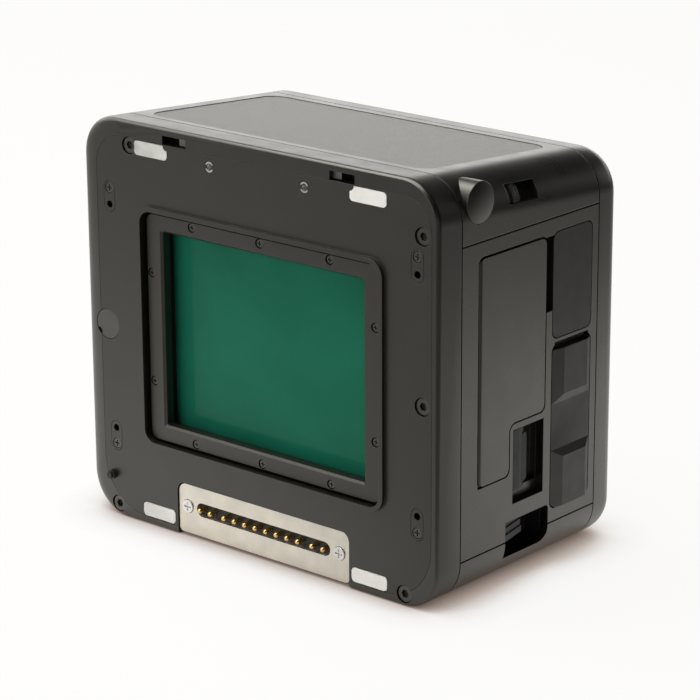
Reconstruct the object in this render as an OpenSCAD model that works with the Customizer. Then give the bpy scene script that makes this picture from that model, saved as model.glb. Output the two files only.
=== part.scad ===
// Medium format digital back: the sensor unit that clips to the rear of a camera body.
// Millimetres, +Z up. The sensor faces -Y and the port side is +X.
// The origin lies under the middle of the body, on the surface that it stands on.
// Modules are drawn with y = 0 on the front face, and place() moves them to the part's frame.

/* [Body] */
// Width across the side covers
body_w = 98.8; // [93:0.1:110]
// Height of the front face
body_h = 89.8; // [88.6:0.1:100]
// Depth from the front face to the rear face
body_d = 60.6; // [59.5:0.1:75]
// Fall of the top face from front to rear
top_drop = 4.4; // [3:0.1:8]
// Radius of the long edges
corner_r = 9; // [7:0.5:9.5]
// Bevel round the front edge
edge_bevel = 0.5; // [0.3:0.1:1]
// Rounding of the rear edges
rear_r = 4; // [2:0.5:4.5]
// Thickness of the covers
wall = 2; // [1.9:0.1:2.4]
// Gap at the seams between covers
seam = 0.3; // [0.05:0.05:0.35]
// Clearance between seated pieces
fit = 0.1; // [0.05:0.05:0.15]
// Radial clearance of rods and pins in their bores
slip = 0.05; // [0.02:0.01:0.1]

/* [Front frame] */
// Depth of the front frame
frame_d = 7.3; // [7:0.1:7.8]
// Width of the rounding along the frame's left edge
rim_w = 4; // [2:0.1:4.4]
// Depth of the rounding along the frame's left edge
rim_d = 2.6; // [1.5:0.1:3.5]
// Distance of the window's middle from the middle of the body, towards the port side
axis_x = 1.7; // [0.5:0.1:1.8]
// Width of the frame's ledge behind the mount plate's edge
ledge_w = 4.6; // [4.2:0.1:5.6]
// Thickness of the mount plate
plate_t = 3; // [2.6:0.1:3.4]
// Mean margin beside the mount plate
plate_side = 3.3; // [3.1:0.1:4.2]
// Gap round the mount plate
plate_seam = 0.08; // [0.06:0.01:0.2]
// Margin above the mount plate
plate_top = 3.6; // [3.2:0.1:4]
// Margin below the mount plate
plate_bottom = 1.75; // [1.4:0.05:2]
// Radius of the mount plate's upper corners
plate_top_r = 7; // [5:0.5:9]
// Radius of the mount plate's lower corners
plate_foot_r = 12; // [9:0.5:13]

/* [Front fittings] */
// Distance from the middle of a bearing pad to the mount plate's side edge
pad_in = 16.2; // [15.2:0.1:16.8]
// Width of a bearing pad
pad_w = 9.5; // [8:0.1:10]
// Height of a bearing pad
pad_h = 3.1; // [2.4:0.1:3.4]
// Corner radius of a bearing pad
pad_r = 0.9; // [0.5:0.1:1]
// Thickness of a bearing pad
pad_t = 0.8; // [0.5:0.1:1]
// Height of the pads above the front face
pad_proud = 0.1; // [0:0.05:0.3]
// Distance from a pad to the plate's edge
pad_edge = 0.2; // [0.1:0.05:0.4]
// Radius of the notch in an upper pad
pad_notch_r = 1.1; // [0.6:0.1:1.4]
// Distance from a hook slot to the middle of the pad beside it
hook_in = 6.8; // [6:0.1:8]
// Width of a hook slot
hook_w = 6.65; // [5:0.05:8]
// Height of a hook slot
hook_h = 2; // [1.5:0.1:2.2]
// Depth of a hook slot
hook_d = 4; // [3:0.1:5]
// Width of the steel catch in a hook slot
catch_w = 2.4; // [1.5:0.1:3]
// Distance of the threaded bushes from the middle
bush_x = 13.05; // [10:0.05:16]
// Distance of the bushes from the plate's upper edge
bush_down = 2.65; // [2:0.05:4]
// Outer radius of a bush
bush_r = 1.4; // [1.2:0.1:1.8]
// Radius of the hole in a bush
bush_bore_r = 0.8; // [0.5:0.05:0.9]
// Distance of the locating inserts from the plate's side
insert_in = 3.6; // [3.2:0.1:4.5]
// Distance of the upper inserts from the plate's upper edge
insert_down = 13.65; // [12.5:0.05:18]
// Distance of the lower inserts from the plate's lower edge
insert_up = 16.75; // [13:0.05:20]
// Width of a locating insert
insert_w = 3.1; // [2.8:0.1:3.4]
// Length of a locating insert
insert_l = 6.7; // [6.4:0.1:8]
// Thickness of a locating insert
insert_t = 3; // [2:0.1:3]
// Distance from the hole to the screw in an insert
insert_pitch = 3.6; // [3.2:0.1:3.8]
// Radius of the locating hole
locate_r = 0.8; // [0.5:0.05:1]
// Distance of the side screws from the plate's side
side_screw_in = 2.35; // [2.2:0.05:3]
// Distance of the upper side screw from the plate's upper edge
side_screw_down = 7.55; // [5:0.05:8]
// Distance of the middle side screw and the round plug below the middle of the front face
mid_screw_down = 1.2; // [-4:0.05:4]
// Distance of the foot screws from the plate's side
foot_screw_in = 5.3; // [4.8:0.1:8]
// Height of the foot screws
foot_screw_z = 2.6; // [2.3:0.1:3.2]
// Distance of the upper screw from the plate's left side
head_screw_in = 9.75; // [9:0.05:11]
// Distance of the upper screw from the plate's upper edge
head_screw_down = 1.65; // [1.4:0.05:2]
// Head radius of a case screw
case_head_r = 1.75; // [1.4:0.05:1.8]
// Head height of a case screw
case_head_t = 1.7; // [1.2:0.1:1.8]
// Depth of the case screw heads below the front face
case_head_sink = 0.35; // [0.3:0.05:1.2]
// Shank radius of a case screw
case_shank_r = 0.9; // [0.6:0.05:1]
// Radius of the round plug
plug_r = 3.3; // [2.5:0.1:3.4]
// Distance of the round plug from the plate's side
plug_in = 1.9; // [1.7:0.1:4]
// Thickness of the round plug
plug_t = 1.1; // [0.8:0.1:1.6]
// Radius of the sense plunger
plunger_r = 1; // [0.7:0.1:1]
// Distance of the sense plunger from the plate's side
plunger_in = 2.3; // [2.2:0.1:4]
// Height of the sense plunger
plunger_z = 9.3; // [9:0.1:11]
// Length of the sense plunger in front of the face
plunger_proud = 1.5; // [1:0.1:2]
// Travel of the sense plunger
plunger_travel = 1.2; // [0.6:0.1:1.4]

/* [Window] */
// Height of the middle of the window above the middle of the front face
window_up = 0.5; // [-0.5:0.05:1.1]
// Groove beside the mask
groove_side = 0.8; // [0.6:0.1:1.2]
// Groove above and below the mask
groove_top = 0.7; // [0.5:0.1:1.2]
// Corner radius of the opening
window_r = 2.8; // [2.2:0.1:4]
// Width of the raised light lip
lip_w = 1.05; // [0.6:0.05:1.4]
// Height of the raised light lip
lip_h = 0.8; // [0.4:0.1:1.2]
// Width of the mask beside the aperture
mask_side = 4.3; // [4:0.1:5]
// Width of the mask above and below the aperture
mask_top = 3.55; // [3.2:0.05:4]
// Depth of the mask below the front face
mask_sink = 0.6; // [0.3:0.1:1]
// Width of the filter's edge hidden beside the aperture
filter_side = 3.1; // [2.6:0.1:4]
// Width of the filter's edge hidden above and below the aperture
filter_top = 2.95; // [2.4:0.05:4]
// Bevel round the aperture
aperture_bevel = 0.5; // [0.2:0.1:0.8]
// Distance between mask screws along the top and the bottom
mask_screw_dx = 19.1; // [16:0.1:24]
// Distance between mask screws along the sides
mask_screw_dz = 24.2; // [18:0.1:30]
// Distance of the mask screws from the mask's edge
mask_screw_in = 1.1; // [0.9:0.05:1.4]
// Head radius of a mask screw
mask_head_r = 0.85; // [0.7:0.05:0.95]

/* [Sensor stack] */
// Width of the sensor housing beside the filter
housing_side = 5; // [4.5:0.1:6]
// Width of the sensor housing above and below the filter
housing_top = 3.1; // [2.8:0.1:3.6]
// Thickness of the housing's front wall
housing_t = 1.4; // [1.2:0.1:1.8]
// Width of the filter, the sensor and its board
stack_w = 62; // [60.5:0.5:63]
// Height of the filter, the sensor and its board
stack_h = 49; // [47.5:0.5:49.6]
// Thickness of the filter gasket
gasket_t = 1; // [0.6:0.1:1.2]
// Width of the filter gasket's rim
gasket_rim = 1.9; // [1.4:0.1:2.2]
// Thickness of the filter glass
filter_t = 1.6; // [1:0.1:2]
// Thickness of the image sensor
sensor_t = 2.2; // [1.6:0.1:2.4]
// Thickness of a circuit board
board_t = 1.6; // [1:0.1:1.8]
// Thickness of the sensor carrier
carrier_t = 2; // [1.6:0.1:2.2]
// Thickness of the heat spreader
spreader_t = 1; // [0.6:0.1:1.2]

/* [Contact plate] */
// Distance from the contact plate's end to the mount plate's side edge
contact_in = 21.95; // [21.6:0.05:22.8]
// Height of the contact plate's upper edge
contact_h = 11.95; // [11.5:0.05:12.5]
// Height of the contact plate's lower edge
contact_foot = 0.85; // [0.7:0.05:1.3]
// Corner radius of the contact plate
contact_r = 2; // [1:0.1:3]
// Thickness of the contact plate
contact_t = 1.2; // [0.8:0.1:1.4]
// Depth of the contact plate below the front face
contact_sink = 0.3; // [0.3:0.05:0.5]
// Height of the row of contact pins
contact_z = 6.95; // [6.5:0.05:7.5]
// Distance from the slot round the pins to the contact plate's end
contact_slot_in = 5.15; // [4.6:0.05:5.4]
// Height of the slot round the pins
contact_slot_h = 3.1; // [2:0.1:4]
// Distance of a contact plate screw from the contact plate's end
contact_screw_in = 2.6; // [2.4:0.05:2.8]
// Thickness of the contact block
block_t = 5; // [4.4:0.1:5]
// Distance between neighbouring pins, as a share of the slot's length
pin_pitch_share = 0.079; // [0.064:0.001:0.081]
// Distance between the groups of pins, as a share of the slot's length
pin_gap_share = 0.105; // [0.09:0.001:0.115]
// Radius of a contact pin
pin_r = 0.55; // [0.3:0.05:0.65]
// Length of a contact pin in front of the face
pin_proud = 0.9; // [0.5:0.1:1.4]
// Travel of the contact pins
pin_travel = 0.7; // [0.3:0.1:0.8]

/* [Covers] */
// Depth of the top cover's sides below the front edge
top_cover_h = 14.2; // [13.8:0.1:14.6]
// Height of the bottom cover's sides
bottom_cover_h = 9.4; // [9:0.1:9.7]
// Depth of the rear bezel
bezel_d = 7.6; // [6.6:0.1:7.8]
// Thickness of the chassis walls
chassis_t = 1.6; // [1.2:0.1:1.8]
// Width of the top inlay
inlay_w = 76.8; // [60:0.2:77.6]
// Distance from the front edge to the top inlay
inlay_front = 9.6; // [9:0.1:12]
// Distance from the top inlay to the rear seam
inlay_rear = 2.8; // [2:0.1:8]
// Corner radius of the top inlay
inlay_r = 4; // [2:0.5:8]
// Thickness of the top inlay
inlay_t = 0.8; // [0.5:0.1:1.2]

/* [Controls] */
// Radius of the power button
button_r = 4.3; // [3.6:0.1:4.4]
// Distance of the power button behind the frame
button_back = 5.9; // [5:0.1:7]
// Height of the power button above the side seam
button_up = 8; // [7.4:0.1:8.2]
// Length of the power button
button_l = 9; // [8:0.5:9.5]
// Height of the power button's domed end
button_dome = 0.5; // [0.3:0.1:0.9]
// Travel of the power button
button_travel = 0.8; // [0.4:0.1:1]
// Distance of the lock slider's window behind the frame
lock_back = 16; // [15:0.1:18]
// Length of the lock slider's window
lock_l = 9.6; // [8:0.1:11]
// Depth of the window's upper edge below the top face
lock_down = 3.2; // [2.2:0.1:3.6]
// Height of the lock slider's window
lock_h = 3.8; // [3.2:0.1:4.6]
// Length of the lock slider
lock_slider_l = 4; // [3:0.1:5]

/* [Right side] */
// Distance of the battery door behind the frame
door_back = 5.9; // [5.8:0.1:6.5]
// Distance of the battery door below the upper seam
door_down = 3.8; // [3.2:0.1:4.2]
// Width of the battery door, as a share of the side cover's depth
door_w_share = 0.477; // [0.46:0.001:0.48]
// Height of the door's wide part, as a share of the side cover's height
door_h_share = 0.559; // [0.55:0.001:0.57]
// Width of the door's tail, as a share of the door's width
tail_w_share = 0.459; // [0.4:0.001:0.48]
// Height of the door's tail, as a share of the side cover's height
tail_h_share = 0.166; // [0.14:0.001:0.175]
// Corner radius of the door
door_r = 1.6; // [0.8:0.1:2]
// Thickness of the door
door_t = 1.8; // [1.6:0.1:1.85]
// Gap above and in front of the door
door_gap = 0.5; // [0.4:0.05:0.6]
// Radius of the hinge pin
hinge_pin_r = 0.4; // [0.25:0.05:0.5]
// Length of the hinge pin in the side cover at each end
hinge_pin_in = 2; // [1:0.1:2.4]
// Width of the fingernail notch behind the door
notch_w = 2.4; // [2.2:0.1:2.6]
// Height of the fingernail notch
notch_h = 16; // [10:0.5:20]
// Distance from the door's tail to the latch recess
latch_gap = 1.3; // [1:0.1:1.6]
// Distance from the door's wide part down to the latch recess
latch_down = 1.6; // [1.2:0.1:2]
// Height of the latch recess, as a share of the side cover's height
latch_h_share = 0.243; // [0.23:0.001:0.248]
// Height of the latch recess below the latch
latch_foot = 2.7; // [2:0.1:4]
// Travel of the latch
latch_travel = 3.2; // [2:0.1:3.4]
// Length of the latch that rolls off behind, as a share of its length
latch_roll_share = 0.71; // [0.5:0.01:0.8]
// Width of the finger scoop, as a share of the side cover's depth
scoop_w_share = 0.317; // [0.29:0.001:0.325]
// Height of the finger scoop above the lower seam
scoop_up = 4.2; // [3.6:0.1:4.5]
// Depth of the finger scoop below the lower seam
scoop_down = 3.8; // [3.2:0.1:4]
// Depth of the finger scoop
scoop_d = 6; // [5:0.1:6.5]
// Depth of the ramp in the finger scoop at its foot
ramp_d = 1.4; // [1:0.1:4]
// Length of the ramp in the finger scoop, as a share of the scoop
ramp_share = 0.5; // [0.3:0.01:0.52]
// Step between the three levels of the ramp
ramp_step = 0.3; // [0.1:0.05:0.4]
// Radius of the finger scoop's lower rear corner
scoop_r = 2.6; // [1.5:0.1:3]
// Radius of the finger scoop's upper rear corner
scoop_top_r = 0.9; // [0.5:0.1:2]
// Distance of the finger scoop behind the frame, as a share of the side cover's depth
scoop_back_share = 0.328; // [0.3:0.001:0.335]
// Width of the rubber covers, as a share of the side cover's depth
cover_w_share = 0.2878; // [0.28:0.0002:0.291]
// Height of the port cover, as a share of the side cover's height
port_h_share = 0.343; // [0.335:0.001:0.348]
// Height of the card cover, as a share of the side cover's height
card_h_share = 0.54; // [0.53:0.001:0.56]
// Gap between the two rubber covers' recesses
cover_gap = 0.9; // [0.6:0.1:1.2]
// Thickness of the rubber covers
cover_t = 1.5; // [1.3:0.1:1.6]
// Corner radius of the rubber covers
cover_r = 1.8; // [1:0.1:2.4]
// Gap round the rubber covers
cover_fit = 0.2; // [0.15:0.05:0.3]
// Fingernail gap above the card cover
cover_nail = 0.6; // [0.4:0.1:0.8]
// Length of the raised grip at each end of the card cover
grip_l = 12.8; // [8:0.1:14]
// Height of the grips above the side cover
grip_h = 0.7; // [0.4:0.1:0.9]
// Width of the slope at a grip's inner end and along its rear edge
grip_slope = 1.8; // [0.6:0.1:2.4]
// Width of the slope along a grip's front edge
grip_side = 3.4; // [1:0.1:4.5]
// Length of the step above the upper grip
grip_step = 0.9; // [0.4:0.1:1.4]
// Depth of the step above the upper grip
grip_step_d = 1; // [0.4:0.1:1.1]

/* [Inside] */
// Length of the battery
battery_l = 71; // [60:0.5:76]
// Width of the door beyond the battery
battery_side = 1.8; // [1.4:0.1:3]
// Height of the door beyond the battery
battery_top = 1; // [0.6:0.1:3]
// Thickness of the battery tray
tray_t = 1.4; // [1:0.1:1.5]
// Depth of the card reader
reader_d = 38; // [36:0.5:42]
// Depth of the network jack
jack_d = 21; // [18:0.5:24]
// Height of the port cover beyond the network jack
jack_less = 7.1; // [6.9:0.1:7.6]
// Wall of the network jack
jack_wall = 1.5; // [1.2:0.1:2]
// Depth of the network jack's socket
jack_socket_d = 13; // [10:0.5:15]

/* [Rear] */
// Distance of the display glass from the body's side
glass_side = 14; // [13:0.1:20]
// Height of the display glass
glass_h = 52; // [44:0.5:56]
// Corner radius of the display glass
glass_r = 3; // [1:0.5:5]
// Height of the middle of the display, as a share of the front face's height
display_share = 0.465; // [0.45:0.001:0.48]
// Thickness of the rear wall
rear_t = 2; // [1.6:0.1:2.2]
// Depth of the glass and the buttons below the rear face
rear_sink = 0.2; // [0.1:0.05:0.4]
// Width of a rear button
key_w = 5; // [4:0.1:5.2]
// Height of a rear button
key_h = 15; // [10:0.5:18]
// Distance of the rear buttons from the body's side
key_in = 7.5; // [7.2:0.1:8]
// Distance of the rear buttons above and below the middle of the display
key_dz = 15; // [11:0.5:16]
// Travel of the rear buttons
key_travel = 0.4; // [0.2:0.1:0.6]

/* [Hidden] */
$fn = 32;

// Steps round each rounded long edge of the front frame and the rear bezel
corner_steps = 12;
// Thickness of a thin slice
slice = 0.01;
// Length by which a cut runs past the piece that it cuts
past = 1;

// Body
half_w = body_w / 2;
front_proud = max(plunger_proud, pin_proud, lip_h);
face_y = (front_proud - body_d) / 2;
side_proud = max(button_dome, grip_h);
middle_x = -side_proud / 2;
top_angle = atan(top_drop / body_d);
rear_seam_y = body_d - bezel_d;
top_seam_z = body_h - top_cover_h;
low_seam_z = bottom_cover_h;
inner_x = half_w - wall;
function top_z(y) = body_h - top_drop * y / body_d;

// Mount plate and what it carries
plate_half = half_w - plate_side;
plate_z0 = plate_bottom;
plate_z1 = body_h - plate_top;
pad_x = plate_half - pad_in;
hook_x = pad_x - hook_in;
pad_top_z = plate_z1 - pad_edge - pad_h / 2;
pad_low_z = plate_z0 + pad_edge + pad_h / 2;
insert_x = plate_half - insert_in;
insert_places = [
    for (s = [-1, 1]) [s * insert_x, plate_z1 - insert_down, 1],
    for (s = [-1, 1]) [s * insert_x, plate_z0 + insert_up, -1]
];
mid_screw_z = body_h / 2 - mid_screw_down;
insert_head_r = 1.1;
insert_head_t = 0.7;
insert_shank_r = 0.6;
insert_screw_end = plate_t + 2.2;
head_screw_place = [head_screw_in - plate_half, plate_z1 - head_screw_down];
case_screw_places = [
    [plate_half - side_screw_in, plate_z1 - side_screw_down],
    [plate_half - side_screw_in, mid_screw_z],
    [plate_half - foot_screw_in - axis_x, foot_screw_z],
    [foot_screw_in - plate_half - axis_x, foot_screw_z],
    head_screw_place
];
case_bore_r = case_head_r + 0.2;
case_head_floor = case_head_sink + case_head_t;
case_screw_end = frame_d - 0.8;
plug_place = [plug_in - plate_half, mid_screw_z];
plunger_place = [plunger_in - plate_half, plunger_z];
plunger_end = plunger_travel + 4.2;

// Window and sensor stack
window_z = body_h / 2 + window_up;
aperture_w = stack_w - 2 * filter_side;
aperture_h = stack_h - 2 * filter_top;
mask_w = aperture_w + 2 * mask_side;
mask_h = aperture_h + 2 * mask_top;
window_w = mask_w + 2 * groove_side;
window_h = mask_h + 2 * groove_top;
housing_w = stack_w + 2 * housing_side;
housing_h = stack_h + 2 * housing_top;
mask_screw_places = [
    for (s = [-1, 1]) for (k = [-1:1]) [k * mask_screw_dx, s * (mask_h / 2 - mask_screw_in)],
    for (s = [-1, 1]) for (k = [-0.5, 0.5]) [s * (mask_w / 2 - mask_screw_in), k * mask_screw_dz]
];
mask_bore_r = mask_head_r + 0.2;
mask_head_y = mask_sink + 0.2;
mask_head_t = 0.7;
mask_shank_r = 0.4;
stack_y = plate_t + housing_t;
filter_y = stack_y + gasket_t;
sensor_y = filter_y + filter_t;
sensor_board_y = sensor_y + sensor_t;
carrier_y = sensor_board_y + board_t;
spreader_y = carrier_y + carrier_t;
stack_end_y = spreader_y + spreader_t;
aperture_room = 1.2;
stack_room = 0.5;
carrier_screw_x = (stack_w + housing_side) / 2;
carrier_screw_z = housing_h / 2 - 2;
carrier_screw_places = [
    for (s = [-1, 1]) for (u = [-1, 1]) [s * carrier_screw_x, window_z + u * carrier_screw_z]
];
carrier_shank_r = 0.7;
carrier_shank_l = 4;
carrier_head_r = 1.3;
carrier_head_t = 1;

// Contact plate
contact_w = 2 * (plate_half - contact_in);
contact_slot_l = contact_w - 2 * contact_slot_in;
contact_screw_x = contact_w / 2 - contact_screw_in;
pin_pitch = pin_pitch_share * contact_slot_l;
pin_group_gap = pin_gap_share * contact_slot_l;
contact_back = contact_sink + contact_t;
block_end = contact_back + block_t;
block_w = contact_w - 2.4;
block_z0 = contact_foot + 1.2;
block_z1 = contact_h - 0.6;
notch_gap = 0.25;
contact_head_r = 1.45;
contact_head_t = 0.6;
contact_shank_r = 0.7;
pin_end = block_end - pin_travel - fit;
pin_half_row = 3.5 * pin_pitch + pin_group_gap;
pin_places = [
    for (k = [-3.5:1:3.5]) k * pin_pitch,
    for (s = [-1, 1]) for (k = [0, 1]) s * (pin_half_row + k * pin_pitch)
];

// Chassis
chassis_z0 = low_seam_z;
chassis_z1 = top_seam_z - seam;
chassis_in_x = inner_x - chassis_t;
chassis_in_z0 = chassis_z0 + chassis_t;
chassis_in_z1 = chassis_z1 - chassis_t;
rib_x = half_w / 2;
post_w = 2;
post_y = rear_seam_y - 12;

inlay_l = rear_seam_y - inlay_front - inlay_rear;

// Controls
button_y = frame_d + button_back;
button_z = top_seam_z + button_up;
switch_x = half_w - button_l - button_travel - fit;
switch_w = 3.4;
lock_y0 = frame_d + lock_back;
lock_out_r = corner_r - 0.5;
lock_in_r = corner_r - wall + 0.15;
lock_ridge_r = corner_r - 0.15;
lock_clear = 0.15;
track_out_r = corner_r - wall - slip;
track_in_r = track_out_r - 1;
track_rim = 0.9;
lock_corner_x = half_w - corner_r;

// Battery door, latch, finger scoop
side_d = rear_seam_y - frame_d;
side_h = top_seam_z - low_seam_z;
door_w = door_w_share * side_d;
door_h = door_h_share * side_h;
tail_w = tail_w_share * door_w;
tail_h = tail_h_share * side_h;
door_y0 = frame_d + door_back;
door_y1 = door_y0 + door_w;
door_z1 = top_seam_z - door_down;
door_z0 = door_z1 - door_h;
tail_y1 = door_y0 + tail_w;
tail_z0 = door_z0 - tail_h;
door_x0 = half_w - door_t;
knuckle_r = door_t / 2;
hinge_x = half_w - knuckle_r;
hinge_y = door_y0 + knuckle_r;
hinge_room = 0.3;
notch_y1 = door_y1 + notch_w;
latch_fit = 0.2;
latch_y0 = tail_y1 + latch_gap;
latch_w = door_y1 - latch_y0 - latch_fit;
latch_h = latch_h_share * side_h;
latch_l = latch_w - latch_travel - 4 * latch_fit;
latch_slider_h = latch_h - latch_foot - latch_fit;
latch_roll_l = latch_roll_share * latch_l;
latch_roll_r = 1.1 * latch_roll_l;
latch_z1 = door_z0 - latch_down;
latch_z0 = latch_z1 - latch_h;
latch_x0 = inner_x - chassis_t + fit;
latch_floor_t = 1.2;
latch_tongue_l = 2.6;
latch_face_x = half_w - 0.15;
scoop_w = scoop_w_share * side_d;
scoop_y0 = frame_d + scoop_back_share * side_d;
scoop_y1 = scoop_y0 + scoop_w;
scoop_z0 = low_seam_z - scoop_down;
scoop_z1 = low_seam_z + scoop_up;
scoop_t = 0.7;
scoop_x0 = half_w - scoop_d - scoop_t;

// Rubber covers and what lies behind them
cover_w = cover_w_share * side_d;
port_h = port_h_share * side_h;
card_h = card_h_share * side_h;
cover_y0 = notch_y1;
cover_y1 = cover_y0 + cover_w;
port_z1 = door_z1 + 0.5;
port_z0 = port_z1 - port_h;
card_z1 = port_z0 - cover_gap - cover_nail;
card_z0 = card_z1 - card_h;
cover_x0 = half_w - cover_t;
recess_x0 = cover_x0 - fit;
cover_ledge = 0.8;
socket_y0 = cover_y0 + cover_ledge;
socket_y1 = cover_y1 - cover_ledge;
socket_x1 = recess_x0 - fit;
socket_w = socket_y1 - socket_y0;
jack_h = port_h - jack_less;
jack_z1 = port_z1 - cover_ledge - fit;
jack_z0 = jack_z1 - jack_h;
usb_z1 = jack_z0 - 1;
usb_z0 = port_z0 + cover_ledge + fit;
usb_margin = 2.5;
usb_wall = 0.35;
usb_socket_d = 6;
port_board_x = socket_x1 - jack_d;
reader_z0 = card_z0 + cover_ledge + fit;
reader_z1 = card_z1 - cover_ledge - fit;
reader_h = reader_z1 - reader_z0;
// Each card slot's middle and width as shares of the socket's width, and its height as a share of the reader's
card_slots = [[0.3, 0.36, 0.86], [0.73, 0.22, 0.7]];
card_gap = 0.15;

// Battery
battery_t = door_w - battery_side;
battery_h = door_h - battery_top;
battery_y0 = door_y0 + (door_w - battery_t) / 2 + 0.3;
battery_z0 = door_z0 + (door_h - battery_h) / 2;
battery_x1 = door_x0 - 0.3;
battery_x0 = battery_x1 - battery_l;
battery_room = 0.3;

// Rear
glass_w = body_w - 2 * glass_side;
display_z = display_share * body_h;
rear_inner_y = body_d - rear_t;
rear_plate_t = 1.4;
rear_plate_y1 = rear_seam_y + rear_plate_t;
module_margin = 1;
key_flange = 0.6;
key_x = half_w - key_in;
key_clear = 0.2;
key_places = [[-1, 1], [-1, -1], [1, 1], [1, -1]];
main_board_y = rear_seam_y - 0.8 - board_t;
standoff_r = 1.6;
standoff_dz = glass_h / 2 - 2;
main_board_x0 = 2 - chassis_in_x;
main_board_x1 = socket_x1 - reader_d - 2;
standoff_places = [
    for (x = [main_board_x0 + 4, main_board_x1 - 4]) for (u = [-1, 1]) [x, display_z + u * standoff_dz]
];
processor_w = 20;
processor_t = 2;

black = "#3b3a37";
dark = "#2a2926";
rubber = "#33322f";

// General shapes

module place() {
    translate([middle_x, face_y, 0]) children();
}

// The mount plate, the window and what they carry are drawn round the window's middle
module place_axis() {
    place() translate([axis_x, 0, 0]) children();
}

// An outline in X and Z, stretched from y0 to y1
module along_y(y0, y1) {
    translate([0, y1, 0]) rotate([90, 0, 0]) linear_extrude(y1 - y0) children();
}

// An outline in Y and Z, stretched from x0 to x1
module along_x(x0, x1) {
    translate([x0, 0, 0]) rotate([90, 0, 90]) linear_extrude(x1 - x0) children();
}

// A round rod along Y at a place in X and Z
module rod(p, y0, y1, r) {
    translate([p[0], y0, p[1]]) rotate([-90, 0, 0]) cylinder(r = r, h = y1 - y0);
}

// A box from its lowest to its highest corner
module block(low, high) {
    translate(low) cube(high - low);
}

module rounded(w, h, r) {
    square([w - 2 * r, h], center = true);
    square([w, h - 2 * r], center = true);
    for (s = [-1, 1]) for (u = [-1, 1]) {
        translate([s * (w / 2 - r), u * (h / 2 - r)]) circle(r);
    }
}

// A rounded rectangle from its lowest to its highest corner
module rounded_between(low, high, r) {
    translate((low + high) / 2) rounded(high[0] - low[0], high[1] - low[1], r);
}

// A slot with round ends, along its first side
module pill(l, w) {
    square([l - w, w], center = true);
    for (s = [-1, 1]) translate([s * (l - w) / 2, 0]) circle(w / 2);
}

// A rectangle in the middle of X with one radius above and another below
module two_radius(w, z0, z1, top_r, foot_r) {
    translate([-w / 2, z0 + foot_r]) square([w, z1 - z0 - top_r - foot_r]);
    translate([top_r - w / 2, z1 - 2 * top_r]) square([w - 2 * top_r, 2 * top_r]);
    translate([foot_r - w / 2, z0]) square([w - 2 * foot_r, 2 * foot_r]);
    for (s = [-1, 1]) {
        translate([s * (w / 2 - top_r), z1 - top_r]) circle(top_r);
        translate([s * (w / 2 - foot_r), z0 + foot_r]) circle(foot_r);
    }
}

// A cross recess in a screw head whose front is at y
module cross_cut(p, y, r, depth) {
    for (a = [0, 90]) {
        translate([p[0], y, p[1]]) rotate([0, a, 0]) cube([1.3 * r, 2 * depth, 0.28 * r], center = true);
    }
}

// The body's outline at a depth, drawn in from the outside by an inset
module body_outline(y, inset) {
    r = corner_r - inset;
    w = body_w - 2 * inset;
    two_radius(w, inset, top_z(y) - inset, r, r);
}

// Points round the body at a depth, drawn in from the outside by an inset, and by a little more on the left
function body_ring(y, inset, more = 0) = [
    for (q = [0:3]) for (k = [0:corner_steps])
        let (
            a = 90 * (q + k / corner_steps),
            mid_x = q == 0 || q == 3 ? half_w - corner_r : corner_r - half_w + more,
            mid_z = q < 2 ? top_z(y) - corner_r : corner_r
        )
        [mid_x + (corner_r - inset) * cos(a), y, mid_z + (corner_r - inset) * sin(a)]
];

// A closed shell through rings of points, from front to rear
module loft(rings) {
    n = len(rings[0]);
    last = len(rings) - 1;
    polyhedron(
        points = [for (r = rings) each r],
        faces = [
            [for (k = [n - 1:-1:0]) k],
            [for (k = [0:n - 1]) last * n + k],
            for (j = [0:last - 1]) for (k = [0:n - 1])
                let (m = (k + 1) % n)
                [j * n + k, j * n + m, (j + 1) * n + m, (j + 1) * n + k]
        ]
    );
}

// The frame in which the sloping top face is flat at z = 0
module top_frame() {
    translate([0, 0, body_h]) rotate([-top_angle, 0, 0]) children();
}

// The outline of the top, with its rounded edges, in the top frame
module top_outline(inset) {
    r = corner_r - inset;
    w = body_w - 2 * inset;
    deep = body_h;
    translate([-w / 2, -deep]) square([w, deep - corner_r]);
    translate([r - w / 2, -deep]) square([w - 2 * r, deep - inset]);
    for (s = [-1, 1]) translate([s * (w / 2 - r), -corner_r]) circle(r);
}

// Front frame and mount plate

module plate_outline(grow) {
    two_radius(
        2 * (plate_half + grow), plate_z0 - grow, plate_z1 + grow,
        plate_top_r + grow, plate_foot_r + grow
    );
}

module case_screw_holes() {
    for (p = case_screw_places) {
        rod(p, -past, case_head_floor, case_bore_r);
        rod(p, -past, case_screw_end + fit, case_shank_r + slip);
    }
}

module plug_and_plunger_holes() {
    rod(plug_place, -past, plug_t, plug_r + fit);
    rod(plunger_place, -past, plunger_end + plunger_travel + fit, plunger_r + slip);
}

// The notch for the contact plate, open at the bottom
module contact_notch(y1) {
    grow = notch_gap;
    along_y(-past, y1) rounded_between(
        [-contact_w / 2 - grow, -contact_h], [contact_w / 2 + grow, contact_h + grow], contact_r + grow
    );
}

// Rings of the front frame: a bevel all round, and a soft rounding on the left
front_rings = [
    for (a = [0:15:90])
        let (y = rim_d * (1 - cos(a)), inset = max(0, edge_bevel - y))
        body_ring(y, inset, max(0, rim_w * (1 - sin(a)) - inset)),
    body_ring(frame_d, 0)
];

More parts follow.
